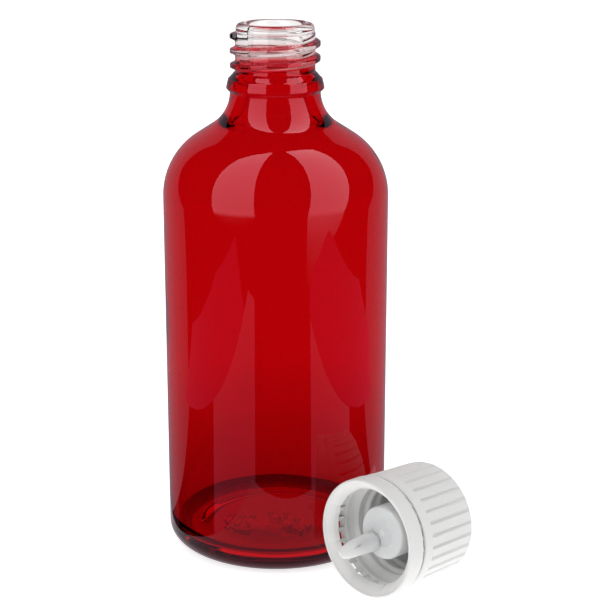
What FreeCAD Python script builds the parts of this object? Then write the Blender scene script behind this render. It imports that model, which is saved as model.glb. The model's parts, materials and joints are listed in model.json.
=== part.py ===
import FreeCAD, Part
import Sketcher
import math
import os

# A small round glass bottle with a threaded neck, and its screw closure lying beside it on the same surface.
# Millimetres, +Z up, origin at the centre of the bottle's foot. The four closure pieces are drawn upright in
# one closure frame, open end at Z = 0, and laid on their side by one shared Placement.

V = FreeCAD.Vector
doc = FreeCAD.newDocument("dropper_bottle")

SIZES = {
    # glass bottle
    "body_radius": 23.6, "bottle_height": 112.0, "wall": 2.0, "heel_radius": 4.0,
    "foot_radius": 17.5, "foot_recess": 1.2, "floor_thickness": 3.6, "inner_heel_radius": 3.0,
    "shoulder_start": 76.3, "shoulder_radius": 15.0, "shoulder_sweep": 57.2,
    "neck_radius": 9.4, "neck_blend_radius": 8.2, "inner_blend_radius": 8.0,
    "collar_bottom": 98.0, "collar_radius": 10.15, "collar_crest": 98.9, "collar_top_radius": 9.65,
    "collar_top": 101.15, "thread_floor": 102.1, "thread_root_radius": 8.28,
    "lip_radius": 8.1, "lip_height": 1.6, "lip_round": 1.1, "bore_radius": 5.65,
    # neck thread
    "thread_pitch": 3.0, "thread_turns": 2.1, "thread_top": 109.5, "thread_depth": 1.07,
    "thread_base": 1.9, "thread_crest": 0.7, "thread_end_angle": 197.0,
    # closure, measured from its open end
    "closure_length": 20.5, "band_radius": 12.3, "band_height": 4.0, "band_bore": 10.9, "band_edge": 0.35,
    "rim_bore": 11.7, "rim_bevel": 1.4, "bead_radius": 9.9, "bead_height": 0.9, "bead_bottom": 1.6,
    "bead_count": 8.0, "bead_sweep": 41.0, "slit": 0.7, "collar_width": 2.1, "skirt_radius": 12.1,
    "rib_radius": 12.0, "rib_radius_top": 11.75, "top_chamfer": 1.2, "top_thickness": 1.5,
    "cap_bore": 9.6, "lead_radius": 10.75, "lead_depth": 2.4, "lead_taper": 0.9,
    "groove_floor": 11.5, "groove_width": 0.55, "groove_count": 30.0,
    "cap_thread_depth": 0.75, "cap_thread_base": 1.5, "cap_thread_crest": 0.7,
    "cap_thread_turns": 2.0, "cap_thread_start": 9.0,
    # snap bridges across the slit
    "bridge_count": 30.0, "bridge_width": 0.75, "bridge_bore": 10.95, "bridge_thickness": 0.6,
    # dropper insert
    "plug_radius": 5.5, "plug_bore": 4.6, "plug_face_z": 4.75, "plug_face": 1.1, "plug_round": 0.5,
    "flange_radius": 8.0, "flange_thickness": 1.2, "flange_gap": 0.05,
    "spout_radius": 2.1, "spout_bore": 0.8, "spout_offset": 3.3, "spout_angle": 134.0,
    "spout_length": 8.3, "spout_shoulder": 0.4, "spout_tip": 1.5,
    # where the closure lies
    "closure_x": 17.5, "closure_y": -33.5, "closure_heading": 47.0,
}

sheet = doc.addObject("Spreadsheet::Sheet", "Sizes")
for row, (alias, value) in enumerate(SIZES.items(), start=1):
    sheet.set("A%d" % row, alias)
    sheet.set("B%d" % row, str(value))
    sheet.setAlias("B%d" % row, alias)
doc.recompute()


class Measure:
    """A size worked out from sheet cells: its present number, and the expression that binds it."""

    def __init__(self, number, text):
        self.number = number
        self.text = text

    def join(self, other, sign, number):
        text = other.text if isinstance(other, Measure) else repr(float(other))
        return Measure(number, "(%s %s %s)" % (self.text, sign, text))

    def __add__(self, other):
        return self.join(other, "+", self.number + number_of(other))

    def __sub__(self, other):
        return self.join(other, "-", self.number - number_of(other))

    def __mul__(self, other):
        return self.join(other, "*", self.number * number_of(other))

    def __truediv__(self, other):
        return self.join(other, "/", self.number / number_of(other))


def number_of(value):
    return value.number if isinstance(value, Measure) else float(value)


def size(alias):
    return Measure(SIZES[alias], "Sizes." + alias)


def cosine(angle):
    return Measure(math.cos(math.radians(angle.number)), "cos(%s * 1 deg)" % angle.text)


def sine(angle):
    return Measure(math.sin(math.radians(angle.number)), "sin(%s * 1 deg)" % angle.text)


def root(value):
    return Measure(math.sqrt(value.number), "sqrt(%s)" % value.text)


ZERO = Measure(0.0, "0")


# ---------------------------------------------------------------- sketches

def new_body(label):
    body = doc.addObject("PartDesign::Body", label)
    body.Label = label
    return body


def origin_item(body, role):
    return [item for item in body.Origin.OriginFeatures if item.Role == role][0]


def new_sketch(body, name, role="XZ_Plane", turn=None, lift=None):
    """A sketch on an origin plane, turned about the body's Z axis or lifted along it."""
    sketch = body.newObject("Sketcher::SketchObject", name)
    sketch.AttachmentSupport = [(origin_item(body, role), "")]
    sketch.MapMode = "FlatFace"
    if turn is not None:
        spin = FreeCAD.Rotation(V(0, 1, 0), turn.number)
        sketch.AttachmentOffset = FreeCAD.Placement(V(0, 0, 0), spin)
        sketch.setExpression("AttachmentOffset.Rotation.Angle", "%s * 1 deg" % turn.text)
    if lift is not None:
        sketch.AttachmentOffset = FreeCAD.Placement(V(0, 0, lift.number), FreeCAD.Rotation())
        sketch.setExpression("AttachmentOffset.Base.z", lift.text)
    return sketch


def pin(sketch, edge, end, axis, measure, name):
    """Bind one end point's distance from the sketch's axes."""
    if abs(measure.number) < 1e-9:
        sketch.addConstraint(Sketcher.Constraint("PointOnObject", edge, end, -2 if axis == "X" else -1))
        return
    index = sketch.addConstraint(Sketcher.Constraint("Distance" + axis, -1, 1, edge, end, measure.number))
    sketch.renameConstraint(index, name)
    sketch.setExpression("Constraints." + name, measure.text)


def arc_middle(start, end, radius, side):
    """The middle point of the shorter arc between two points, bulging to the left (+1) or right (-1)."""
    chord = end - start
    normal = V(-chord.y, chord.x, 0).normalize() * side
    sagitta = radius - math.sqrt(max(radius ** 2 - chord.Length ** 2 / 4, 0.0))
    return (start + end) * 0.5 + normal * sagitta


def draw_outline(sketch, corners):
    """A closed outline. Each corner is (x, y), or (x, y, radius, side) when an arc leaves it."""
    points = [V(corner[0].number, corner[1].number, 0) for corner in corners]
    edges = []
    for index, corner in enumerate(corners):
        start = points[index]
        end = points[(index + 1) % len(points)]
        if len(corner) == 2:
            edges.append((sketch.addGeometry(Part.LineSegment(start, end), False), 1, 2))
            continue
        middle = arc_middle(start, end, corner[2].number, corner[3])
        edge = sketch.addGeometry(Part.Arc(start, middle, end), False)
        forward = sketch.getPoint(edge, 1).distanceToPoint(start) < 1e-6
        edges.append((edge, 1, 2) if forward else (edge, 2, 1))
    for index, (edge, first, last) in enumerate(edges):
        after = edges[(index + 1) % len(edges)]
        sketch.addConstraint(Sketcher.Constraint("Coincident", edge, last, after[0], after[1]))
        pin(sketch, edge, first, "X", corners[index][0], "across%d" % index)
        pin(sketch, edge, first, "Y", corners[index][1], "up%d" % index)
        if len(corners[index]) == 4:
            radius = corners[index][2]
            label = "radius%d" % index
            number = sketch.addConstraint(Sketcher.Constraint("Radius", edge, radius.number))
            sketch.renameConstraint(number, label)
            sketch.setExpression("Constraints." + label, radius.text)


def revolve(body, name, corners, kind="Revolution", turn=None, sweep=None):
    """A solid, ring or ring segment turned about the body's Z axis from an outline of radius and height."""
    sketch = new_sketch(body, name + "_outline", turn=turn)
    draw_outline(sketch, corners)
    feature = body.newObject("PartDesign::" + kind, name)
    feature.Profile = sketch
    feature.ReferenceAxis = (origin_item(body, "Z_Axis"), [""])
    if sweep is not None:
        feature.Midplane = True
        feature.Angle = sweep.number
        feature.setExpression("Angle", sweep.text)
    doc.recompute()
    return feature


def ridge(body, name, root_radius, depth, base, crest, pitch, turns, start_z, turn):
    """A helical thread ridge on a wall: its trapezoid swept up the body's Z axis, right-handed."""
    sketch = new_sketch(body, name + "_outline", turn=turn)
    half_base = base / 2
    half_crest = crest / 2
    draw_outline(sketch, [
        (root_radius, start_z - half_base), (root_radius + depth, start_z - half_crest),
        (root_radius + depth, start_z + half_crest), (root_radius, start_z + half_base)])
    helix = body.newObject("PartDesign::AdditiveHelix", name)
    helix.Profile = sketch
    helix.ReferenceAxis = (origin_item(body, "Z_Axis"), [""])
    helix.Mode = "pitch-turns-angle"
    helix.Angle = 0
    helix.LeftHanded = False
    helix.Reversed = False
    helix.setExpression("Pitch", pitch.text)
    helix.setExpression("Turns", turns.text)
    doc.recompute()
    return helix


def polar(body, feature, name, count):
    """Copies of a feature evenly round the body's Z axis."""
    pattern = body.newObject("PartDesign::PolarPattern", name)
    pattern.Originals = [feature]
    pattern.Axis = (origin_item(body, "Z_Axis"), [""])
    pattern.Angle = 360
    pattern.Occurrences = int(count.number)
    pattern.setExpression("Occurrences", count.text)
    body.Tip = pattern
    doc.recompute()
    return pattern


# ---------------------------------------------------------------- glass bottle

THREAD_BURY = 0.25          # how far a thread ridge starts inside its wall


def shoulder_points(wall):
    """The end of the shoulder's round, at a depth of wall inside the outer surface."""
    sweep = size("shoulder_sweep")
    radius = size("shoulder_radius") - wall
    across = size("body_radius") - wall - radius * (Measure(1.0, "1") - cosine(sweep))
    up = size("shoulder_start") + radius * sine(sweep)
    return across, up


def blend_start(end_radius, blend_radius, centre_z):
    """Where the hollow round into the neck starts, for a round that ends upright at end_radius."""
    sweep = size("shoulder_sweep")
    across = end_radius + blend_radius * (Measure(1.0, "1") - cosine(sweep))
    return across, centre_z - blend_radius * sine(sweep)


def blend_centre_z(shoulder_end, end_radius, blend_radius):
    """The height at which that round ends, so that the slope between both rounds is tangent to them."""
    sweep = size("shoulder_sweep")
    start_radius = end_radius + blend_radius * (Measure(1.0, "1") - cosine(sweep))
    slope = (shoulder_end[0] - start_radius) * cosine(sweep) / sine(sweep)
    return shoulder_end[1] + slope + blend_radius * sine(sweep)


def make_glass_bottle():
    body = new_body("glass_bottle")
    top = size("bottle_height")
    wall = size("wall")
    heel = size("heel_radius")
    shoulder_radius = size("shoulder_radius")
    neck_blend = size("neck_blend_radius")
    shoulder_end = shoulder_points(ZERO)
    neck_z = blend_centre_z(shoulder_end, size("neck_radius"), neck_blend)
    neck_start = blend_start(size("neck_radius"), neck_blend, neck_z)
    above = neck_z - size("collar_bottom")
    under_collar = size("neck_radius") + neck_blend - root(neck_blend * neck_blend - above * above)
    inner_end = shoulder_points(wall)
    inner_blend = size("inner_blend_radius")
    bore = size("bore_radius")
    bore_z = blend_centre_z(inner_end, bore, inner_blend)
    bore_start = blend_start(bore, inner_blend, bore_z)
    inner_radius = size("body_radius") - wall
    inner_heel = size("inner_heel_radius")
    floor_z = size("floor_thickness")
    lip_round = size("lip_round")
    revolve(body, "bottle_wall", [
        (ZERO, size("foot_recess")),
        (size("foot_radius") - size("foot_recess") * 3, size("foot_recess")),
        (size("foot_radius"), ZERO),
        (size("body_radius") - heel, ZERO, heel, -1),
        (size("body_radius"), heel),
        (size("body_radius"), size("shoulder_start"), shoulder_radius, -1),
        shoulder_end,
        (neck_start[0], neck_start[1], neck_blend, 1),
        (under_collar, size("collar_bottom")),
        (size("collar_radius"), size("collar_crest")),
        (size("collar_top_radius"), size("collar_top")),
        (size("thread_root_radius"), size("thread_floor")),
        (size("thread_root_radius"), top - size("lip_height") * 1.5),
        (size("lip_radius"), top - size("lip_height")),
        (size("lip_radius"), top - lip_round, lip_round, -1),
        (size("lip_radius") - lip_round, top),
        (bore + lip_round, top, lip_round, -1),
        (bore, top - lip_round),
        (bore, bore_z, inner_blend, -1),
        bore_start,
        (inner_end[0], inner_end[1], shoulder_radius - wall, 1),
        (inner_radius, size("shoulder_start")),
        (inner_radius, floor_z + inner_heel, inner_heel, 1),
        (inner_radius - inner_heel, floor_z),
        (ZERO, floor_z + size("foot_recess")),
    ])
    turns = size("thread_turns")
    start_z = size("thread_top") - turns * size("thread_pitch")
    start_turn = size("thread_end_angle") - turns * 360
    ridge(body, "neck_thread", size("thread_root_radius") - THREAD_BURY, size("thread_depth") + THREAD_BURY,
          size("thread_base"), size("thread_crest"), size("thread_pitch"), turns, start_z, start_turn)
    return body


# ---------------------------------------------------------------- closure

def make_tamper_band():
    body = new_body("tamper_band")
    edge = size("band_edge")
    revolve(body, "band_wall", [
        (size("rim_bore"), ZERO),
        (size("band_radius") - edge, ZERO, edge, -1),
        (size("band_radius"), edge),
        (size("band_radius"), size("band_height")),
        (size("band_bore"), size("band_height")),
        (size("band_bore"), size("rim_bevel")),
    ])
    bead_bottom = size("bead_bottom")
    inside_wall = size("band_bore") + 0.2
    bead = revolve(body, "retaining_bead", [
        (inside_wall, bead_bottom),
        (inside_wall, bead_bottom + size("bead_height")),
        (size("bead_radius"), bead_bottom + size("bead_height")),
    ], sweep=size("bead_sweep"))
    polar(body, bead, "retaining_beads", size("bead_count"))
    return body


def make_snap_bridges():
    """The thin bridges between band and cap, in the slit: separate solids that are one group."""
    body = new_body("snap_bridges")
    body.AllowCompound = True
    sketch = new_sketch(body, "bridge_outline", role="XY_Plane", lift=size("band_height"))
    half = size("bridge_width") / 2
    inner = size("bridge_bore")
    outer = inner + size("bridge_thickness")
    draw_outline(sketch, [(inner, ZERO - half), (outer, ZERO - half), (outer, half), (inner, half)])
    bridge = body.newObject("PartDesign::Pad", "bridge")
    bridge.Profile = sketch
    bridge.setExpression("Length", "Sizes.slit")
    doc.recompute()
    polar(body, bridge, "bridges", size("bridge_count"))
    return body


def make_screw_cap():
    body = new_body("screw_cap")
    end = size("closure_length")
    start = size("band_height") + size("slit")
    ribs_start = start + size("collar_width")
    chamfer = size("top_chamfer")
    lead_top = start + size("lead_depth")
    revolve(body, "cap_shell", [
        (size("lead_radius"), start),
        (size("skirt_radius"), start),
        (size("skirt_radius"), ribs_start),
        (size("rib_radius"), ribs_start),
        (size("rib_radius_top"), end - chamfer),
        (size("rib_radius_top") - chamfer, end),
        (ZERO, end),
        (ZERO, end - size("top_thickness")),
        (size("cap_bore"), end - size("top_thickness")),
        (size("cap_bore"), lead_top + size("lead_taper")),
        (size("lead_radius"), lead_top),
    ])
    bury = size("cap_bore") + THREAD_BURY
    ridge(body, "cap_thread", bury, ZERO - size("cap_thread_depth") - THREAD_BURY,
          size("cap_thread_base"), size("cap_thread_crest"), size("thread_pitch"),
          size("cap_thread_turns"), size("cap_thread_start"), ZERO)
    whole = body.Shape.Volume
    sketch = new_sketch(body, "groove_outline", role="XY_Plane", lift=ribs_start)
    half = size("groove_width") / 2
    floor = size("groove_floor")
    clear = size("skirt_radius") + 1.0
    draw_outline(sketch, [(floor, ZERO - half), (clear, ZERO - half), (clear, half), (floor, half)])
    groove = body.newObject("PartDesign::Pocket", "grip_groove")
    groove.Profile = sketch
    groove.Reversed = True
    groove.setExpression("Length", "Sizes.closure_length")
    doc.recompute()
    polar(body, groove, "grip_grooves", size("groove_count"))
    if body.Shape.Volume > whole - 1.0:
        raise RuntimeError("the grip grooves cut nothing")
    return body


SPOUT_CLEARANCE = 0.5        # how far the slanting cut starts outside the spout


def drill(body, name, kind, radius, bottom, length):
    """A round pad or pocket along the spout's own axis, upwards from the given height."""
    sketch = new_sketch(body, name + "_outline", role="XY_Plane", lift=bottom)
    offset = size("spout_offset")
    angle = size("spout_angle")
    across = offset * cosine(angle)
    up = offset * sine(angle)
    circle = sketch.addGeometry(Part.Circle(V(across.number, up.number, 0), V(0, 0, 1), radius.number), False)
    pin(sketch, circle, 3, "X", across, "across")
    pin(sketch, circle, 3, "Y", up, "up")
    number = sketch.addConstraint(Sketcher.Constraint("Radius", circle, radius.number))
    sketch.renameConstraint(number, "radius")
    sketch.setExpression("Constraints.radius", radius.text)
    feature = body.newObject("PartDesign::" + kind, name)
    feature.Profile = sketch
    feature.Reversed = kind == "Pocket"
    feature.setExpression("Length", length.text)
    doc.recompute()
    return feature


def trim_spout(body, inner, root_z, end_z, radius):
    """The slanting cut that leaves the spout longest at its outer side, like a quill."""
    whole = body.Shape.Volume
    sketch = new_sketch(body, "spout_cut_outline", turn=size("spout_angle"))
    below = end_z - SPOUT_CLEARANCE
    tip = size("spout_offset") + size("spout_tip")
    draw_outline(sketch, [(inner, below), (tip, below), (tip, end_z), (inner, root_z)])
    cut = body.newObject("PartDesign::Pocket", "spout_cut")
    cut.Profile = sketch
    cut.Midplane = True
    cut.setExpression("Length", (radius * 3).text)
    doc.recompute()
    if body.Shape.Volume > whole - 1.0:
        raise RuntimeError("the slanting cut removed nothing")
    return cut


def make_dropper_insert():
    body = new_body("dropper_insert")
    seat = size("closure_length") - size("top_thickness") - size("flange_gap")
    under_flange = seat - size("flange_thickness")
    face = size("plug_face_z")
    plug = size("plug_radius")
    plug_round = size("plug_round")
    revolve(body, "plug_and_flange", [
        (ZERO, face),
        (plug - plug_round, face, plug_round, -1),
        (plug, face + plug_round),
        (plug, under_flange),
        (size("flange_radius"), under_flange),
        (size("flange_radius"), seat),
        (size("plug_bore"), seat),
        (size("plug_bore"), face + size("plug_face")),
        (ZERO, face + size("plug_face")),
    ])
    spout = size("spout_radius")
    spout_end = face - size("spout_length")
    drill(body, "drip_spout", "Pad", spout, spout_end, size("spout_length") + plug_round)
    trim_spout(body, size("spout_offset") - spout - SPOUT_CLEARANCE, face - size("spout_shoulder"),
               spout_end, spout)
    drill(body, "drip_channel", "Pocket", size("spout_bore"), spout_end,
          size("spout_length") + size("plug_face"))
    return body


# ---------------------------------------------------------------- placing, checking and writing

def lie_down():
    """The closure's Placement: on its side, touching the surface at the band and at the top's edge."""
    drop = SIZES["band_radius"] - SIZES["rib_radius_top"]
    span = SIZES["closure_length"] - SIZES["top_chamfer"] - SIZES["band_height"]
    tilt = math.atan2(drop, span)
    heading = math.radians(SIZES["closure_heading"])
    along = V(math.sin(heading) * math.cos(tilt), math.cos(heading) * math.cos(tilt), -math.sin(tilt))
    side = V(math.cos(heading), -math.sin(heading), 0)
    down = along.cross(side)
    height = SIZES["band_radius"] * math.cos(tilt) + SIZES["band_height"] * math.sin(tilt)
    base = V(SIZES["closure_x"], SIZES["closure_y"], height)
    return FreeCAD.Placement(base, FreeCAD.Rotation(side, down, along, "ZXY")), side, down, along


bottle = make_glass_bottle()
closure = [make_tamper_band(), make_snap_bridges(), make_screw_cap(), make_dropper_insert()]
resting, side, down, along = lie_down()
for piece in closure:
    piece.Placement = resting
doc.recompute()

for item in doc.Objects:
    if "Invalid" in item.State or "Error" in item.State:
        raise RuntimeError("%s did not compute: %s" % (item.Name, item.State))

os.makedirs("parts", exist_ok=True)
for piece in [bottle] + closure:
    shape = piece.Shape
    if shape.isNull() or not shape.isValid():
        raise RuntimeError("%s has no valid shape" % piece.Label)
    shape.exportStep("parts/%s.step" % piece.Label)
    box = shape.BoundBox
    print("%-15s %d solid(s) %9.1f mm3  x %.2f..%.2f  y %.2f..%.2f  z %.2f..%.2f" % (
        piece.Label, len(shape.Solids), shape.Volume, box.XMin, box.XMax, box.YMin, box.YMax,
        box.ZMin, box.ZMax))

# The point about which the lying closure tips up on to its flat top, and that hinge's axis.
pivot_radius = SIZES["rib_radius_top"] - SIZES["top_chamfer"]
pivot = resting.Base + down * pivot_radius + along * (SIZES["closure_length"] - SIZES["top_chamfer"])
print("tip pivot", [round(value, 4) for value in pivot], "axis", [round(-value, 6) for value in side])
print("closure axis", [round(value, 6) for value in along])
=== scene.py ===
import json
import math

import bpy
import numpy as np
from mathutils import Matrix, Vector


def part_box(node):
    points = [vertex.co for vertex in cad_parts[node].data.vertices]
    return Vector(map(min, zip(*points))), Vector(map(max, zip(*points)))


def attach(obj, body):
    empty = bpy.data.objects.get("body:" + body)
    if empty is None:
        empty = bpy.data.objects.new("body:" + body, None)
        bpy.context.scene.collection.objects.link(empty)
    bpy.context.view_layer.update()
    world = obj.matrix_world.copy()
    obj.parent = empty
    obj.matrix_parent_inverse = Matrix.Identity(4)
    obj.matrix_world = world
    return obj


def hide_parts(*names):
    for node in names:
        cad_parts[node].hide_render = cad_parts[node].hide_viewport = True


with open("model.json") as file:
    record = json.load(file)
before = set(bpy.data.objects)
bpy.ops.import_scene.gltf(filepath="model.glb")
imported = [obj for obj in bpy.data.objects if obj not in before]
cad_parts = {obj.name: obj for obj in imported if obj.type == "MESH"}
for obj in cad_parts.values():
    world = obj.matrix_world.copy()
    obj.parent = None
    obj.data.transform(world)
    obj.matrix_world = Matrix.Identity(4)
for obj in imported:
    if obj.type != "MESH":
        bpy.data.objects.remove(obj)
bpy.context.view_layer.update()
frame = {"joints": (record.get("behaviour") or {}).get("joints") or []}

# The look of a red lacquered glass bottle and its white screw closure. Outlines are in millimetres, as
# (radius, height) round the axis of each piece, and become metres when a mesh is made.

MM = 0.001
TINY = 1e-6
joints = {joint["name"]: joint for joint in frame["joints"]}
bottle_low, bottle_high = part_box("glass_bottle")
BODY_RADIUS = (bottle_high.x - bottle_low.x) / 2 / MM
BOTTLE_HEIGHT = bottle_high.z / MM

# glass bottle
WALL = 2.0
SHOULDER_START, SHOULDER_RADIUS, SHOULDER_SWEEP = 76.3, 15.0, math.radians(57.2)
NECK_RADIUS, NECK_BLEND, INNER_BLEND = 9.4, 8.2, 8.0
COLLAR_BOTTOM, COLLAR_RADIUS, COLLAR_CREST, COLLAR_TOP_RADIUS, COLLAR_TOP = 98.0, 10.15, 98.8, 9.75, 100.7
THREAD_FLOOR, THREAD_TOP, THREAD_ROOT, THREAD_DEPTH = 102.1, 109.5, 8.28, 1.07
PITCH, TURNS, THREAD_END, THREAD_FADE = 3.0, 2.1, math.radians(197.0), 0.012
THREAD_HALF_CREST, THREAD_HALF_BASE = 0.35, 1.05
LIP_RADIUS, LIP_ROUND, LIP_BAND, BORE = 8.1, 1.1, 2.0, 5.65
FOOT_RECESS, FOOT_RING, HEEL, FLOOR, INNER_HEEL = 1.2, 13.2, 4.0, 3.6, 3.0
MARK_DEPTH, MARK_HALF_WIDTH, MARK_EDGE = 0.85, 0.45, 0.14
BOTTLE_SEGMENTS, FOOT_STEP, THREAD_STEP = 288, 0.18, 0.12

# closure, measured from its open end
CLOSURE_LENGTH, TOP_CHAMFER, TOP_THICKNESS, TOP_DISH = 20.5, 1.2, 1.5, 0.25
BAND_RADIUS, BAND_HEIGHT, BAND_BORE, RIM_BORE, RIM_BEVEL = 12.3, 4.0, 10.9, 11.7, 1.4
BEAD_RADIUS, BEAD_BOTTOM, BEAD_HEIGHT, BEADS, BEAD_SWEEP = 9.9, 1.6, 0.9, 8, math.radians(41)
SLIT, COLLAR_WIDTH, SKIRT_RADIUS = 0.7, 2.1, 12.1
WINDOW_DEPTH, WINDOW_FLOOR, BRIDGES, BRIDGE_WIDTH = 0.8, 11.75, 30, 0.75
RIB_RADIUS, RIB_RADIUS_TOP, RIB_BOW, GROOVE_FLOOR, GROOVES = 12.0, 11.75, 0.05, 11.3, 30
GROOVE_HALF_FLOOR, GROOVE_HALF_TOP = 0.22, 0.44
CAP_BORE, LEAD_RADIUS, LEAD_DEPTH, LEAD_TAPER = 9.6, 10.75, 2.4, 0.9
CAP_THREAD_DEPTH, CAP_THREAD_TURNS, CAP_THREAD_START, CAP_THREAD_FADE = 0.75, 2.0, 9.0, 0.02
CAP_THREAD_HALF_CREST, CAP_THREAD_HALF_BASE = 0.3, 0.8
CAP_SEGMENTS, BAND_SEGMENTS, INSERT_SEGMENTS, SPOUT_SEGMENTS = GROOVES * 20, 360, 240, 96

# dropper insert, measured from the closure's open end
PLUG_RADIUS, PLUG_BORE, PLUG_FACE_Z, PLUG_FACE, PLUG_ROUND = 5.5, 4.6, 4.75, 1.1, 0.5
FLANGE_RADIUS, FLANGE_THICKNESS, FLANGE_GAP = 8.0, 1.2, 0.05
SPOUT_RADIUS, SPOUT_BORE, SPOUT_OFFSET, SPOUT_ANGLE = 2.1, 0.35, 3.3, math.radians(134)
SPOUT_LENGTH, SPOUT_SHOULDER, SPOUT_TIP, SPOUT_TAPER = 8.3, 0.4, 1.8, 0.16
DISC_RADIUS, DISC_DEPTH, GATE_RADIUS, GATE_RISE = 2.75, 0.13, 0.675, 0.16
ENGRAVED_ANGLE, ENGRAVED_OFFSET, ENGRAVED_DEPTH = math.radians(-49), 2.6, 0.16

# lacquer: its colour, the heel's near-black painted shade, and the heights between which it fades out up the
# thread
LACQUER, HEEL_PAINTED_SHADE = (0.49, 0.000686, 0.00245, 1), (0.0294, 0.000392, 0.00098, 1)
LACQUER_SHEEN, GLASS_SHEEN = (1.0, 0.36, 0.46, 1), (1, 1, 1, 1)
FADE_START, FADE_MIDDLE, FADE_END = 103.4, 105.6, 109.2
GLASS_IOR = 1.5

# stage: how strongly its cards glow, and the outlines of its level cards in millimetres
FLOOR_GLOW, NEAR_FLOOR_GLOW, SIDE_REFLECTION_GLOW, FRONT_GLOW, BACK_GLOW = 0.75, 0.85, 0.8, 3.3, 0.34
FLOOR_EDGE = [(-4000, -4000), (4000, -4000), (4000, 4000), (-4000, 4000)]
NEAR_FLOOR = [(-30, -72), (62, -56), (62, 20), (-30, 20)]
# outlines of the cards that paint reflections: the dark plate and the red side cards
REFLECTION_PLATE = [(-115, -220), (115, -220), (115, 10), (-115, 10)]
SIDE_REFLECTION_LEFT = [(-115, -190), (-211, -250), (-234, -130), (-195, 5), (-115, 25)]
SIDE_REFLECTION_RIGHT = [(116, -190), (151, -226), (272, -207), (260, -77), (249, -2), (182, 44), (116, 33)]

# lamps: azimuth and elevation in degrees, then distance, size and radiance, round a point they aim at
STAGE_AIM = Vector((0, 0, 0.08))
LAMPS = {"key_left": (-50, 40, 1.2, 0.9, 1.25), "key_right": (60, 40, 1.2, 0.9, 1.0),
         "overhead": (0, 88, 1.4, 1.4, 0.9), "fill": (-35, 12, 1.2, 0.7, 0.5)}

# camera, placed in millimetres
CAMERA_PLACE, CAMERA_LENS, SENSOR = (-2.9, -344.2, 150.4), 100.4, 36.0
CAMERA_PITCH, CAMERA_YAW = math.radians(15.78), math.radians(1.33)


# ---------------------------------------------------------------- outlines

def arc(centre, radius, start, end, steps):
    """Points of an arc from one angle to another, both ends included."""
    angles = np.linspace(start, end, steps)
    return [(centre[0] + radius * math.cos(a), centre[1] + radius * math.sin(a)) for a in angles]


def line(start, end, steps):
    """Points strictly between two points."""
    across, up = end[0] - start[0], end[1] - start[1]
    shares = [k / (steps + 1) for k in range(1, steps + 1)]
    return [(start[0] + across * share, start[1] + up * share) for share in shares]


def soften(points, passes=3):
    """A polyline with its corners cut repeatedly; its two ends stay."""
    for _ in range(passes):
        cut = [points[0]]
        for (x0, y0), (x1, y1) in zip(points[:-1], points[1:]):
            cut.append((x0 * 0.75 + x1 * 0.25, y0 * 0.75 + y1 * 0.25))
            cut.append((x0 * 0.25 + x1 * 0.75, y0 * 0.25 + y1 * 0.75))
        cut.append(points[-1])
        points = cut
    return points


def smooth(low, high, value):
    """0 at low, 1 at high, eased in between; low may be the larger."""
    t = np.clip((value - low) / (high - low), 0.0, 1.0)
    return t * t * (3 - 2 * t)


# ---------------------------------------------------------------- meshes

def make_piece(name, points, faces, body, materials, face_slots=None, place=None):
    """A smooth-shaded mesh from points in millimetres, riding on a CAD body."""
    mesh = bpy.data.meshes.new(name)
    mesh.from_pydata((np.asarray(points) * MM).tolist(), [], faces)
    if place is not None:
        mesh.transform(place)
    for material in materials:
        mesh.materials.append(material)
    mesh.polygons.foreach_set("use_smooth", [True] * len(mesh.polygons))
    if face_slots is not None:
        mesh.polygons.foreach_set("material_index", face_slots)
    mesh.validate()
    mesh.update()
    piece = bpy.data.objects.new(name, mesh)
    bpy.context.scene.collection.objects.link(piece)
    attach(piece, body)
    return piece


def lathe(rows, segments, shape, closed=False):
    """Points and faces of an outline turned round the Z axis, and the row that each face starts from.
    shape(radii, heights, angles) bends a row. A row of radius 0 is a single point, and a closed outline
    joins its last row to its first."""
    angles = np.linspace(0, 2 * math.pi, segments, endpoint=False)
    points, starts = [], []
    for radius, height in rows:
        starts.append(len(points))
        if radius < TINY:
            points.append((0.0, 0.0, height))
            continue
        radii, heights = shape(np.full(segments, float(radius)), np.full(segments, float(height)), angles)
        points.extend(zip(radii * np.cos(angles), radii * np.sin(angles), heights))
    pairs = list(zip(range(len(rows) - 1), range(1, len(rows))))
    if closed:
        pairs.append((len(rows) - 1, 0))
    faces, face_rows = [], []
    for first, second in pairs:
        a, b = starts[first], starts[second]
        for k in range(segments):
            n = (k + 1) % segments
            if rows[first][0] < TINY:
                faces.append((a, b + n, b + k))
            elif rows[second][0] < TINY:
                faces.append((a + k, a + n, b))
            else:
                faces.append((a + k, a + n, b + n, b + k))
            face_rows.append(first)
    return points, faces, face_rows


def helix_ridge(heights, angles, start_z, start_angle, turns, half_crest, half_base, fade):
    """How much of a right-handed thread ridge, 0 to 1, stands at each place on a wall."""
    phase = (angles - start_angle) / (2 * math.pi)
    climb = (heights - start_z) / PITCH - phase
    nearest = np.round(climb)
    off = np.abs(climb - nearest) * PITCH
    travelled = nearest + phase
    ends = smooth(-fade, fade, travelled) * smooth(turns + fade, turns - fade, travelled)
    return smooth(half_base, half_crest, off) * ends


def from_nearest(angles, count):
    """The angle between each place and the nearest of some evenly spaced features."""
    return np.abs((angles * count / (2 * math.pi) + 0.5) % 1 - 0.5) * 2 * math.pi / count


# ---------------------------------------------------------------- glass bottle

def shoulder_curve(depth, blend_radius, end_radius, steps):
    """From the top of the straight wall, over the shoulder and in to an upright neck or bore."""
    radius = SHOULDER_RADIUS - depth
    centre = (BODY_RADIUS - depth - radius, SHOULDER_START)
    over = arc(centre, radius, 0, SHOULDER_SWEEP, steps)
    start_radius = end_radius + blend_radius * (1 - math.cos(SHOULDER_SWEEP))
    fall = (over[-1][0] - start_radius) / math.tan(SHOULDER_SWEEP)
    start_z = over[-1][1] + fall
    centre_z = start_z + blend_radius * math.sin(SHOULDER_SWEEP)
    into = arc((end_radius + blend_radius, centre_z), blend_radius,
               math.pi + SHOULDER_SWEEP, math.pi, steps)
    return over + line(over[-1], into[0], 5) + into


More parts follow.
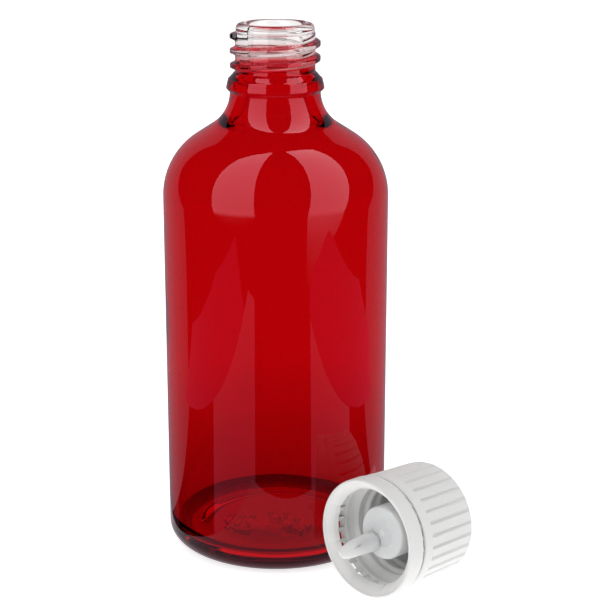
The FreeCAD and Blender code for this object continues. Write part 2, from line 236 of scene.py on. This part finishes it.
def foot_outline():
    """From the foot's centre over its recess and down to the ring that the bottle stands on."""
    recess = [(0.0, FOOT_RECESS)] + [(r, FOOT_RECESS) for r in np.arange(FOOT_STEP, FOOT_RING, FOOT_STEP)]
    ring = soften([(FOOT_RING, FOOT_RECESS), (FOOT_RING + 1.0, FOOT_RECESS), (FOOT_RING + 3.2, 0.35),
                   (FOOT_RING + 4.4, 0.0), (BODY_RADIUS - HEEL, 0.0)])
    return recess + ring


def collar_outline(start):
    """From the neck out over the collar and back in to the thread's root."""
    return soften([start, (NECK_RADIUS, COLLAR_BOTTOM - 0.1), (NECK_RADIUS + 0.15, COLLAR_BOTTOM + 0.1),
                   (COLLAR_RADIUS - 0.15, COLLAR_CREST - 0.3), (COLLAR_RADIUS + 0.02, COLLAR_CREST - 0.05),
                   (COLLAR_RADIUS - 0.02, COLLAR_CREST + 0.3), (COLLAR_TOP_RADIUS + 0.06, COLLAR_TOP - 0.3),
                   (COLLAR_TOP_RADIUS, COLLAR_TOP), (COLLAR_TOP_RADIUS - 0.3, COLLAR_TOP + 0.2),
                   (THREAD_ROOT + 0.25, THREAD_FLOOR - 0.1), (THREAD_ROOT, THREAD_FLOOR),
                   (THREAD_ROOT, THREAD_FLOOR + 0.3)])[1:]


def bottle_outside():
    """From the foot's centre round the heel, up the wall, neck and thread, and on to the lip's top."""
    heel = arc((BODY_RADIUS - HEEL, HEEL), HEEL, -math.pi / 2, 0, 14)[1:]
    wall = line(heel[-1], (BODY_RADIUS, SHOULDER_START), 16)
    shoulder = shoulder_curve(0.0, NECK_BLEND, NECK_RADIUS, 22)
    shoulder = [point for point in shoulder if point[1] < COLLAR_BOTTOM - 0.3]
    lip_bottom, lip_z = BOTTLE_HEIGHT - LIP_BAND, BOTTLE_HEIGHT - LIP_ROUND
    thread = [(THREAD_ROOT, z) for z in np.arange(THREAD_FLOOR + 0.4, lip_bottom, THREAD_STEP)]
    lip = soften([(THREAD_ROOT, lip_bottom), (LIP_RADIUS, lip_bottom + 0.3), (LIP_RADIUS, lip_z)], 2)
    lip_round = arc((LIP_RADIUS - LIP_ROUND, lip_z), LIP_ROUND, 0, math.pi / 2, 9)[1:]
    return foot_outline() + heel + wall + shoulder + collar_outline(shoulder[-1]) + thread + lip + lip_round


def bottle_inside():
    """From the lip's top down the bore and the inside of the wall, and in to the floor's centre."""
    radius = BODY_RADIUS - WALL
    lip_round = arc((BORE + LIP_ROUND, BOTTLE_HEIGHT - LIP_ROUND), LIP_ROUND, math.pi / 2, math.pi, 9)
    shoulder = list(reversed(shoulder_curve(WALL, INNER_BLEND, BORE, 20)))
    bore = line(lip_round[-1], shoulder[0], 12)
    wall = line(shoulder[-1], (radius, FLOOR + INNER_HEEL), 16)
    heel = arc((radius - INNER_HEEL, FLOOR + INNER_HEEL), INNER_HEEL, 0, -math.pi / 2, 12)
    floor = [(r, FLOOR + FOOT_RECESS * math.cos(r / (radius - INNER_HEEL) * math.pi / 2) ** 2)
             for r in np.linspace(radius - INNER_HEEL, 0, 22)[1:-1]]
    return lip_round + bore + shoulder + wall + heel + floor + [(0.0, FLOOR + FOOT_RECESS)]


def foot_marks(radii, angles):
    """How much of the raised mould marks under the foot, 0 to 1, stands at each place: bars and dots,
    each given by its middle, its turn in degrees and half its length."""
    x, y = radii * np.cos(angles), radii * np.sin(angles)
    marks = [(-10.2, 0.6, 70, 1.5), (-8.0, -1.0, 70, 2.0), (-5.6, -0.8, 70, 1.4), (-7.6, -5.4, 160, 1.6)]
    marks.append((-10.6, -4.4, 0, 0.1))
    marks += [(-0.6 + 2.4 * k, 0.7 - 3.0 * k, 125, 1.3) for k in range(3)]
    marks += [(1.8 + 2.4 * k, 1.7 - 3.0 * k, 35, 0.1) for k in range(3)]
    total = np.zeros_like(x)
    for middle_x, middle_y, turn, half in marks:
        c, s = math.cos(math.radians(turn)), math.sin(math.radians(turn))
        u = (x - middle_x) * c + (y - middle_y) * s
        v = (y - middle_y) * c - (x - middle_x) * s
        gap = np.hypot(np.maximum(np.abs(u) - half, 0), v)
        total = np.maximum(total, smooth(MARK_HALF_WIDTH + MARK_EDGE, MARK_HALF_WIDTH - MARK_EDGE, gap))
    return total


def bottle_shape(radii, heights, angles):
    """Adds the mould marks under the foot and the neck's thread to the outside wall."""
    if radii[0] < FOOT_RING and abs(heights[0] - FOOT_RECESS) < TINY:
        return radii, heights - MARK_DEPTH * foot_marks(radii, angles)
    if abs(radii[0] - THREAD_ROOT) > TINY or heights[0] < THREAD_FLOOR - 0.1:
        return radii, heights
    start_z = THREAD_TOP - TURNS * PITCH
    start_angle = THREAD_END - TURNS * 2 * math.pi
    ridge = helix_ridge(heights, angles, start_z, start_angle, TURNS, THREAD_HALF_CREST, THREAD_HALF_BASE,
                        THREAD_FADE)
    return radii + THREAD_DEPTH * ridge, heights


def bottle_face_slots(outside, face_rows):
    """Which of the bottle's materials each face has: 0 lacquered, 1 bare neck, 2 inside, 3 heel, whose
    near-black colour is painted shade.
    """
    bare = sum(1 for _, z in outside if z < FADE_MIDDLE)
    heel = [row for row, (r, z) in enumerate(outside) if r >= BODY_RADIUS - HEEL and z < HEEL - 0.35]
    slots = []
    for row in face_rows:
        if row >= len(outside):
            slots.append(2)
        elif row >= bare:
            slots.append(1)
        elif heel[0] <= row <= heel[-1]:
            slots.append(3)
        else:
            slots.append(0)
    return slots


def make_bottle():
    """The glass: outside and inside are one closed skin."""
    outside = bottle_outside()
    points, faces, face_rows = lathe(outside + bottle_inside(), BOTTLE_SEGMENTS, bottle_shape)
    # the heel's material takes a near-black colour: painted shade
    materials = [lacquered_glass("lacquered_glass", LACQUER, LACQUER_SHEEN),
                 lacquered_glass("neck_glass", LACQUER, GLASS_SHEEN), clear_glass(),
                 lacquered_glass("heel_painted_shade_glass", HEEL_PAINTED_SHADE, LACQUER_SHEEN)]
    piece = make_piece("bottle_glass", points, faces, "bottle", materials,
                       bottle_face_slots(outside, face_rows))
    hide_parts("glass_bottle")


# ---------------------------------------------------------------- closure

closure_axis = -Vector(joints["insert_pull"]["axis"]).normalized()
closure_side = -Vector(joints["cap_tip"]["axis"]).normalized()
closure_down = closure_axis.cross(closure_side)
pivot = Vector(joints["cap_tip"]["pos_m"])
open_centre = (pivot - closure_down * (RIB_RADIUS_TOP - TOP_CHAMFER) * MM
               - closure_axis * (CLOSURE_LENGTH - TOP_CHAMFER) * MM)
CLOSURE_TURN = Matrix((closure_side, closure_down, closure_axis)).transposed().to_4x4()
CLOSURE = Matrix.Translation(open_centre) @ CLOSURE_TURN


def cap_inside():
    """From the inside of the top's centre, down the bore and the lead-in to the slit."""
    start = BAND_HEIGHT + SLIT
    roof_z = CLOSURE_LENGTH - TOP_THICKNESS
    cone_z = start + LEAD_DEPTH
    roof = soften([(5.0, roof_z), (8.4, roof_z), (CAP_BORE, roof_z), (CAP_BORE, roof_z - 1.4)])
    lead = soften([(CAP_BORE, cone_z + 1.2), (CAP_BORE, cone_z + LEAD_TAPER), (LEAD_RADIUS, cone_z),
                   (LEAD_RADIUS, start + WINDOW_DEPTH + 0.3)])
    thread = [(CAP_BORE, z) for z in np.arange(roof_z - 1.5, lead[0][1], -0.16)]
    return [(0.0, roof_z)] + roof + thread + lead


def cap_outside():
    """From the slit's face, up the collar and the ribs, and over the top to its centre."""
    start = BAND_HEIGHT + SLIT
    ribs = start + COLLAR_WIDTH
    crown = CLOSURE_LENGTH - TOP_CHAMFER
    slit = soften([(LEAD_RADIUS, start + WINDOW_DEPTH + 0.3), (LEAD_RADIUS, start + WINDOW_DEPTH),
                   (WINDOW_FLOOR, start), (SKIRT_RADIUS - 0.2, start), (SKIRT_RADIUS, start + 0.25),
                   (SKIRT_RADIUS, start + 0.4)])[1:]
    collar = soften([(SKIRT_RADIUS, start + 0.4), (SKIRT_RADIUS, ribs - 0.12), (RIB_RADIUS, ribs),
                     (RIB_RADIUS, ribs + 0.4)])[1:]
    top = soften([(RIB_RADIUS_TOP, crown - 0.8), (RIB_RADIUS_TOP - 0.1, crown + 0.1),
                  (RIB_RADIUS_TOP - TOP_CHAMFER + 0.1, CLOSURE_LENGTH - 0.1),
                  (RIB_RADIUS_TOP - TOP_CHAMFER - 0.3, CLOSURE_LENGTH), (8.0, CLOSURE_LENGTH - 0.06)])
    side = line(collar[-1], top[0], 12)
    dish = [(6.0, CLOSURE_LENGTH - 0.18), (3.0, CLOSURE_LENGTH - 0.24), (0.0, CLOSURE_LENGTH - TOP_DISH)]
    return slit + collar + side + top + dish


def cap_shape(radii, heights, angles):
    """Adds the grip grooves outside and the thread inside."""
    ribs = BAND_HEIGHT + SLIT + COLLAR_WIDTH
    if radii[0] > GROOVE_FLOOR - 1.4 and heights[0] > ribs:
        off = from_nearest(angles, GROOVES) * radii
        cut = smooth(GROOVE_HALF_TOP, GROOVE_HALF_FLOOR, off) * smooth(ribs + 0.15, ribs + 0.5, heights)
        depth = cut * np.maximum(radii - GROOVE_FLOOR, 0.0)
        bow = RIB_BOW * (off / 1.2) ** 2 * (1 - cut)
        return np.minimum(radii, radii - depth - bow), heights
    if abs(radii[0] - CAP_BORE) < TINY:
        ridge = helix_ridge(heights, angles, CAP_THREAD_START, 0.0, CAP_THREAD_TURNS,
                            CAP_THREAD_HALF_CREST, CAP_THREAD_HALF_BASE, CAP_THREAD_FADE)
        return radii - CAP_THREAD_DEPTH * ridge, heights
    return radii, heights


def make_cap():
    """The cap without its band."""
    points, faces, _ = lathe(cap_inside() + cap_outside(), CAP_SEGMENTS, cap_shape)
    piece = make_piece("cap_shell", points, faces, "cap", [white_plastic()], place=CLOSURE)
    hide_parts("screw_cap")


def band_outline():
    """The band's section, closed: rim, outside, slit face, inside with its bead, bevel."""
    bead_top = BEAD_BOTTOM + BEAD_HEIGHT
    rim = soften([(RIM_BORE, 0.12), (RIM_BORE + 0.1, 0.0), (BAND_RADIUS - 0.15, 0.0), (BAND_RADIUS, 0.35),
                  (BAND_RADIUS, 1.0)])
    outer = line(rim[-1], (BAND_RADIUS, BAND_HEIGHT - 0.8), 4)
    top = soften([(BAND_RADIUS, BAND_HEIGHT - 0.8), (BAND_RADIUS, BAND_HEIGHT - 0.35),
                  (BAND_RADIUS - 0.3, BAND_HEIGHT), (WINDOW_FLOOR, BAND_HEIGHT),
                  (BAND_BORE, BAND_HEIGHT - WINDOW_DEPTH), (BAND_BORE, bead_top + 0.25)])
    bead = [(BAND_BORE, z) for z in np.linspace(bead_top + 0.1, RIM_BEVEL + 0.1, 16)]
    bevel = line((BAND_BORE, RIM_BEVEL + 0.1), (RIM_BORE, 0.12), 10)
    return rim + outer + top + bead + bevel


def band_shape(radii, heights, angles):
    """Adds the retaining beads inside: each swells from the bevel and ends in a sharp undercut."""
    bead_top = BEAD_BOTTOM + BEAD_HEIGHT
    if radii[0] > RIM_BORE - 0.01 or not 0.4 < heights[0] < bead_top + 0.2:
        return radii, heights
    off = from_nearest(angles, BEADS)
    on = smooth(BEAD_SWEEP / 2 + 0.03, BEAD_SWEEP / 2 - 0.01, off)
    rise = np.clip((heights - 0.3) / (bead_top - 0.5), 0, 1) * smooth(bead_top, bead_top - 0.1, heights)
    return radii - (radii - BEAD_RADIUS) * rise * (0.75 + 0.25 * on), heights


def make_band():
    """The tamper band, a closed ring."""
    points, faces, _ = lathe(band_outline(), BAND_SEGMENTS, band_shape, closed=True)
    piece = make_piece("band_ring", points, faces, "band", [white_plastic()], place=CLOSURE)
    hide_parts("tamper_band")


def make_bridges():
    """The thin ribs across the slit's windows, which hold the band to the cap until it is first opened."""
    low, high = BAND_HEIGHT - WINDOW_DEPTH, BAND_HEIGHT + SLIT + WINDOW_DEPTH
    inner, outer, half = BAND_BORE + 0.05, WINDOW_FLOOR - 0.25, BRIDGE_WIDTH / 2
    section = [(inner, low - 0.1), (outer, BAND_HEIGHT - 0.3), (outer, BAND_HEIGHT + SLIT + 0.3),
               (inner, high + 0.1)]
    points, faces = [], []
    for turn in np.linspace(0, 2 * math.pi, BRIDGES, endpoint=False):
        base = len(points)
        for edge in (-half, half):
            for radius, z in section:
                points.append((radius * math.cos(turn) - edge * math.sin(turn),
                               radius * math.sin(turn) + edge * math.cos(turn), z))
        faces.append((base, base + 1, base + 2, base + 3))
        faces.append((base + 7, base + 6, base + 5, base + 4))
        faces += [(base + k, base + 4 + k, base + 4 + (k + 1) % 4, base + (k + 1) % 4) for k in range(4)]
    piece = make_piece("bridge_ribs", points, faces, "cap", [white_plastic()],
                       place=CLOSURE)
    piece.data.polygons.foreach_set("use_smooth", [False] * len(faces))
    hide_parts("snap_bridges")


# ---------------------------------------------------------------- dropper insert

def insert_outline():
    """From the plug face's centre out, up the plug, round the flange, and down inside the plug."""
    seat = CLOSURE_LENGTH - TOP_THICKNESS - FLANGE_GAP
    under = seat - FLANGE_THICKNESS
    face = [(0.0, PLUG_FACE_Z)] + [(r, PLUG_FACE_Z) for r in np.arange(0.1, PLUG_RADIUS - PLUG_ROUND, 0.1)]
    edge = arc((PLUG_RADIUS - PLUG_ROUND, PLUG_FACE_Z + PLUG_ROUND), PLUG_ROUND, -math.pi / 2, 0, 8)
    wall = soften([(PLUG_RADIUS, PLUG_FACE_Z + 0.7), (PLUG_RADIUS, under - 0.5), (PLUG_RADIUS + 0.2, under),
                   (FLANGE_RADIUS - 0.2, under), (FLANGE_RADIUS, under + 0.25), (FLANGE_RADIUS, seat - 0.25),
                   (FLANGE_RADIUS - 0.2, seat), (PLUG_BORE + 0.2, seat), (PLUG_BORE, seat - 0.3),
                   (PLUG_BORE, PLUG_FACE_Z + PLUG_FACE + 0.4), (PLUG_BORE - 0.4, PLUG_FACE_Z + PLUG_FACE),
                   (1.0, PLUG_FACE_Z + PLUG_FACE)])
    return face + edge + wall + [(0.0, PLUG_FACE_Z + PLUG_FACE)]


def insert_shape(radii, heights, angles):
    """Adds the sunk disc, the gate mark and the engraved line of the plug's end face."""
    if radii[0] > PLUG_RADIUS - PLUG_ROUND or heights[0] > PLUG_FACE_Z + 0.01:
        return radii, heights
    disc = DISC_DEPTH * smooth(DISC_RADIUS + 0.1, DISC_RADIUS - 0.1, radii)
    gate = -GATE_RISE * smooth(GATE_RADIUS + 0.125, GATE_RADIUS - 0.125, radii)
    across = np.abs(radii * np.cos(angles - ENGRAVED_ANGLE) - ENGRAVED_OFFSET)
    reach = np.abs(radii * np.sin(angles - ENGRAVED_ANGLE))
    engraved = ENGRAVED_DEPTH * smooth(0.2, 0.08, across) * smooth(1.95, 1.7, reach)
    return radii, heights + disc + gate + engraved


def spout_end(reach):
    """Height of the spout's cut end, rounded where the slant meets the blunt tip."""
    root_z, tip_z = PLUG_FACE_Z - SPOUT_SHOULDER, PLUG_FACE_Z - SPOUT_LENGTH
    slope = (tip_z - root_z) / (SPOUT_TIP + SPOUT_RADIUS)
    slant = root_z + slope * (reach + SPOUT_RADIUS)
    return np.logaddexp(slant * 4, tip_z * 4) / 4


def spout_mesh():
    """The drip spout: a tube off the plug's axis, cut slanting like a quill and longest at its outer side.
    Each row is its radius, how far it stands off the cut end where it follows it, and its share of the way
    from the plug to that end."""
    top_z, bottom_z = PLUG_FACE_Z + 0.4, PLUG_FACE_Z - 0.1
    angles = np.linspace(0, 2 * math.pi, SPOUT_SEGMENTS, endpoint=False)
    wall = (SPOUT_RADIUS - SPOUT_BORE) / 2
    middle = (SPOUT_RADIUS + SPOUT_BORE) / 2
    rows = [(SPOUT_BORE, None, 0.0), (SPOUT_BORE, None, 0.5)]
    rows += [(middle - wall * math.cos(turn), -wall * 0.35 * math.sin(turn), 1.0)
             for turn in np.linspace(0, math.pi, 9)]
    rows += [(SPOUT_RADIUS, None, 0.9 - 0.1 * k) for k in range(9)] + [(SPOUT_RADIUS, None, 0.0)]
    points, faces = [], []
    for index, (radius, lift, level) in enumerate(rows):
        reach = radius * np.cos(angles)
        start = bottom_z if index < 2 else top_z
        if lift is None:
            heights = np.minimum(start + (spout_end(reach) - start) * level, start)
        else:
            heights = spout_end(reach) + lift
        slender = 1 - SPOUT_TAPER * level
        turn = SPOUT_ANGLE + angles
        points.extend(zip(SPOUT_OFFSET * math.cos(SPOUT_ANGLE) + radius * slender * np.cos(turn),
                          SPOUT_OFFSET * math.sin(SPOUT_ANGLE) + radius * slender * np.sin(turn), heights))
    size = SPOUT_SEGMENTS
    for row in range(len(rows) - 1):
        for k in range(size):
            n = (k + 1) % size
            faces.append((row * size + k, row * size + n, (row + 1) * size + n, (row + 1) * size + k))
    faces.append(tuple(range(size - 1, -1, -1)))
    faces.append(tuple(range((len(rows) - 1) * size, len(rows) * size)))
    return points, faces


def make_insert():
    """The dropper insert: its plug with the flange, and its spout."""
    material = natural_plastic()
    points, faces, _ = lathe(insert_outline(), INSERT_SEGMENTS, insert_shape)
    plug = make_piece("insert_plug", points, faces, "insert", [material], place=CLOSURE)
    points, faces = spout_mesh()
    make_piece("insert_spout", points, faces, "insert", [material], place=CLOSURE)
    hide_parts("dropper_insert")


# ---------------------------------------------------------------- nodes

def add(owner, kind, **values):
    """A node of a material or of the world, with its sockets set by name."""
    node = owner.node_tree.nodes.new(kind)
    for socket, value in values.items():
        node.inputs[socket.replace("_", " ")].default_value = value
    return node


def wire(owner, source, target):
    """Joins an output to an input."""
    owner.node_tree.links.new(source, target)


def object_place(owner):
    """Where a point lies on its object, in metres."""
    return add(owner, "ShaderNodeTexCoord").outputs["Object"]


def part_of(owner, vector, axis):
    """One coordinate of a place or direction."""
    split = add(owner, "ShaderNodeSeparateXYZ")
    wire(owner, vector, split.inputs[0])
    return split.outputs[axis]


def ramp(owner, value, low, high, at_low, at_high, eased=False):
    """Goes from at_low to at_high while the value goes from low to high."""
    node = add(owner, "ShaderNodeMapRange", From_Min=low, From_Max=high, To_Min=at_low, To_Max=at_high)
    if eased:
        node.interpolation_type = "SMOOTHSTEP"
    wire(owner, value, node.inputs["Value"])
    return node.outputs["Result"]


def noise(owner, place, scale, detail):
    """A cloudy value, 0 to 1."""
    texture = add(owner, "ShaderNodeTexNoise", Scale=scale, Detail=detail)
    wire(owner, place, texture.inputs["Vector"])
    return texture.outputs["Fac"]


def mix(owner, share, first, second):
    """A colour between two colours."""
    node = add(owner, "ShaderNodeMix")
    node.data_type = "RGBA"
    node.inputs["A"].default_value = first
    node.inputs["B"].default_value = second
    wire(owner, share, node.inputs["Factor"])
    return node.outputs["Result"]


def tint(owner, first, second):
    """Two colours multiplied."""
    node = add(owner, "ShaderNodeMix")
    node.data_type = "RGBA"
    node.blend_type = "MULTIPLY"
    node.inputs["Factor"].default_value = 1.0
    wire(owner, first, node.inputs["A"])
    wire(owner, second, node.inputs["B"])
    return node.outputs["Result"]


def bump(owner, shader, height, strength, distance):
    """Relief that is too fine for the mesh."""
    node = add(owner, "ShaderNodeBump", Strength=strength, Distance=distance)
    wire(owner, height, node.inputs["Height"])
    wire(owner, node.outputs["Normal"], shader.inputs["Normal"])


# ---------------------------------------------------------------- materials

def new_material(name, **values):
    """A node material and its Principled shader, with the shader's sockets set by name."""
    material = bpy.data.materials.new(name)
    material.use_nodes = True
    shader = material.node_tree.nodes["Principled BSDF"]
    for socket, value in values.items():
        shader.inputs[socket.replace("_", " ")].default_value = value
    return material, shader


def lacquered_glass(name, lacquer, sheen):
    """Clear glass under a clear, faintly cloudy lacquer that fades out up the thread; the colour given for
    the heel is painted shade.
    """
    material, shader = new_material(name, Transmission_Weight=1.0, Roughness=0.0, IOR=GLASS_IOR,
                                    Specular_Tint=sheen)
    place = object_place(material)
    bareness = ramp(material, part_of(material, place, "Z"), FADE_START * MM, FADE_END * MM, 0, 1)
    coat = mix(material, bareness, lacquer, (1, 1, 1, 1))
    cloud = mix(material, noise(material, place, 22.0, 2.0), (0.94, 0.9, 0.9, 1), (1, 1, 1, 1))
    wire(material, tint(material, coat, cloud), shader.inputs["Base Color"])
    return material


def clear_glass():
    """The inside of the glass: bare, and faintly wavy."""
    material, shader = new_material("clear_glass", Transmission_Weight=1.0, Roughness=0.0, IOR=GLASS_IOR,
                                    Base_Color=(0.985, 0.99, 0.99, 1))
    bump(material, shader, noise(material, object_place(material), 60.0, 1.0), 0.25, 0.0004)
    return material


def plastic(name, low, high, scatter):
    """Moulded plastic: a faint mottle, a fine eggshell texture and a little light inside."""
    material, shader = new_material(name, Roughness=0.36, Subsurface_Weight=scatter, Subsurface_Scale=0.003,
                                    Subsurface_Radius=(1.0, 0.95, 0.9))
    place = object_place(material)
    wire(material, mix(material, noise(material, place, 240.0, 4.0), low, high), shader.inputs["Base Color"])
    bump(material, shader, noise(material, place, 3200.0, 2.0), 0.08, 0.00002)
    return material


def white_plastic():
    """The closure's plastic, made once and shared."""
    found = bpy.data.materials.get("white_plastic")
    return found or plastic("white_plastic", (0.80, 0.80, 0.80, 1), (0.84, 0.84, 0.84, 1), 0.5)


def natural_plastic():
    """The insert's milky plastic."""
    return plastic("natural_plastic", (0.80, 0.81, 0.81, 1), (0.85, 0.86, 0.86, 1), 0.9)


# ---------------------------------------------------------------- stage

def toward(azimuth, elevation, distance):
    """A place seen from the bottle's middle, at an azimuth right of the front, in degrees and metres."""
    turn, rise = math.radians(azimuth), math.radians(elevation)
    return STAGE_AIM + distance * Vector((math.sin(turn) * math.cos(rise), -math.cos(turn) * math.cos(rise),
                                          math.sin(rise)))


def show_only(item, camera=False, diffuse=False, glossy=False, transmission=False, shadow=False):
    """Which rays meet a stage piece."""
    item.visible_camera = camera
    item.visible_diffuse = diffuse
    item.visible_glossy = glossy
    item.visible_transmission = transmission
    item.visible_shadow = shadow


def card(name, corners, material, fan=False):
    """A stage card from its corners, in metres; a fan has its first corner in the middle."""
    faces = [tuple(range(len(corners)))]
    if fan:
        faces = [(0, k, k + 1) for k in range(1, len(corners) - 1)]
    mesh = bpy.data.meshes.new(name)
    mesh.from_pydata([tuple(corner) for corner in corners], [], faces)
    mesh.materials.append(material)
    item = bpy.data.objects.new(name, mesh)
    bpy.context.scene.collection.objects.link(item)
    return item


def flat_card(name, outline, z, material):
    """A level stage card, from millimetres."""
    return card(name, [(x * MM, y * MM, z * MM) for x, y in outline], material)


def glow(name, strength, colour=(1, 1, 1, 1)):
    """A stage material that gives light and nothing else, and its light node."""
    material = bpy.data.materials.new(name)
    material.use_nodes = True
    material.node_tree.nodes.clear()
    light = add(material, "ShaderNodeEmission", Color=colour, Strength=strength)
    out = add(material, "ShaderNodeOutputMaterial")
    wire(material, light.outputs["Emission"], out.inputs["Surface"])
    return material, light


def shaded_floor_glow():
    """The floor as the glass shows it, with a painted shadow: darker round the bottle's foot."""
    material, light = glow("shaded_floor", 1.0)
    reach = add(material, "ShaderNodeVectorMath")
    reach.operation = "LENGTH"
    wire(material, object_place(material), reach.inputs[0])
    wire(material, ramp(material, reach.outputs["Value"], 0.012, 0.13, 0.42, 1.0), light.inputs["Strength"])
    return material


def sheet_glow(name, foot_share, fade_low, fade_high):
    """A front sheet's light: it grows towards the top, and dies away at the foot between two heights."""
    material, light = glow(name, 1.0)
    height = part_of(material, object_place(material), "Z")
    product = add(material, "ShaderNodeMath")
    product.operation = "MULTIPLY"
    body = ramp(material, height, 0.1, 1.1, FRONT_GLOW * foot_share, FRONT_GLOW * 1.3)
    wire(material, body, product.inputs[0])
    wire(material, ramp(material, height, fade_low, fade_high, 0, 1, eased=True), product.inputs[1])
    wire(material, product.outputs[0], light.inputs["Strength"])
    return material


def make_floor():
    """A wide pale floor. Hidden under it lie the cards that the glass shows: one that is seen through the
    glass and stands for the floor, with a painted shadow round the foot; a pale card near the foot that
    stands for it in reflections; and painted reflections: a dark red mirror plate and red-glowing cards to
    the sides."""
    paper, _ = new_material("floor_paper", Base_Color=(0.8, 0.8, 0.8, 1), Roughness=0.9,
                            Specular_IOR_Level=0.1, Emission_Color=(1, 1, 1, 1),
                            Emission_Strength=FLOOR_GLOW)
    show_only(flat_card("floor", FLOOR_EDGE, 0, paper), camera=True, diffuse=True, shadow=True)
    through = flat_card("floor_through_glass", FLOOR_EDGE, -0.6, shaded_floor_glow())
    show_only(through, transmission=True)
    near, _ = glow("near_floor_glow", NEAR_FLOOR_GLOW, (0.8, 0.74, 0.8, 1))
    show_only(flat_card("near_floor", NEAR_FLOOR, -0.3, near), glossy=True)
    # painted reflection: a dark red mirror card that only gloss sees, so the ground in front reflects dark
    # red
    gloss, _ = new_material("painted_reflection_plate", Base_Color=(0.21, 0.038, 0.09, 1), Metallic=1.0, Roughness=0.03)
    show_only(flat_card("painted_reflection_plate", REFLECTION_PLATE, -0.4, gloss), glossy=True)
    # painted reflection: red-glowing cards that only gloss sees, giving red patches low on the glass at
    # either side
    red_reflection, _ = glow("side_painted_reflection_glow", SIDE_REFLECTION_GLOW, (1, 0.2, 0.4, 1))
    for name, outline in (("side_painted_reflection_left", SIDE_REFLECTION_LEFT), ("side_painted_reflection_right", SIDE_REFLECTION_RIGHT)):
        show_only(flat_card(name, outline, -0.4, red_reflection), glossy=True)


def make_sheets():
    """Tall lit sheets to the left and right, and a faint sheet behind: what the glass and plastic reflect.
    Their corners are azimuths and elevations."""
    left = [(-21, -12), (-64, -12), (-69, 20), (-89, 65), (-167, 84)]
    right = [(30, -16), (70, -12), (82, 40), (129, 63), (142, 80)]
    left_glow = sheet_glow("left_sheet_glow", 0.85, -0.17, -0.03)
    right_glow = sheet_glow("right_sheet_glow", 0.9, -0.27, 0.0)
    sheets = (("front_sheet_left", left, left_glow), ("front_sheet_right", right, right_glow))
    for name, corners, light in sheets:
        show_only(card(name, [toward(a, e, 1.2) for a, e in corners], light), glossy=True)
    back, _ = glow("back_sheet_glow", BACK_GLOW, (1, 0.8, 0.95, 1))
    half = [(-97, -60), (-104, -15), (-127, 14), (-146, 46)]
    mirrored = [(-a, e) for a, e in reversed(half)]
    corners = [(180, -10)] + half + [(180, 55)] + mirrored + [(180, -75), half[0]]
    show_only(card("back_sheet", [toward(a, e, 1.3) for a, e in corners], back, fan=True), glossy=True)


def area_lamp(name, azimuth, elevation, distance, size, radiance):
    """A square lamp that lights the plastic and the floor, and is not itself reflected."""
    lamp = bpy.data.lights.new(name, "AREA")
    lamp.shape = "SQUARE"
    lamp.size = size
    lamp.energy = radiance * math.pi * size * size
    item = bpy.data.objects.new(name, lamp)
    item.location = toward(azimuth, elevation, distance)
    item.rotation_euler = (STAGE_AIM - item.location).to_track_quat("-Z", "Y").to_euler()
    bpy.context.scene.collection.objects.link(item)
    show_only(item, diffuse=True, shadow=True)


def make_world():
    """White behind the scene and dark in front, so that the glass gets dark lines; no gloss shows it."""
    world = bpy.data.worlds.new("studio")
    bpy.context.scene.world = world
    world.use_nodes = True
    background = world.node_tree.nodes["Background"]
    background.inputs["Color"].default_value = (1, 1, 1, 1)
    direction = add(world, "ShaderNodeTexCoord").outputs["Generated"]
    strength = ramp(world, part_of(world, direction, "Y"), -0.3, 0.8, 0.08, 1.0, eased=True)
    wire(world, strength, background.inputs["Strength"])
    world.cycles_visibility.glossy = False


def make_camera():
    """The photograph's view: from in front and above, through a short telephoto lens."""
    lens = bpy.data.cameras.new("camera")
    lens.sensor_width = SENSOR
    lens.lens = CAMERA_LENS
    camera = bpy.data.objects.new("camera", lens)
    camera.location = [value * MM for value in CAMERA_PLACE]
    level = math.cos(CAMERA_PITCH)
    sight = Vector((math.sin(CAMERA_YAW) * level, math.cos(CAMERA_YAW) * level, -math.sin(CAMERA_PITCH)))
    camera.rotation_mode = "QUATERNION"
    camera.rotation_quaternion = sight.to_track_quat("-Z", "Y")
    bpy.context.scene.collection.objects.link(camera)
    bpy.context.scene.camera = camera


make_bottle()
make_cap()
make_band()
make_bridges()
make_insert()
make_floor()
make_sheets()
make_world()
for lamp_name, values in LAMPS.items():
    area_lamp(lamp_name, *values)
make_camera()
bpy.context.scene.view_settings.view_transform = "Standard"
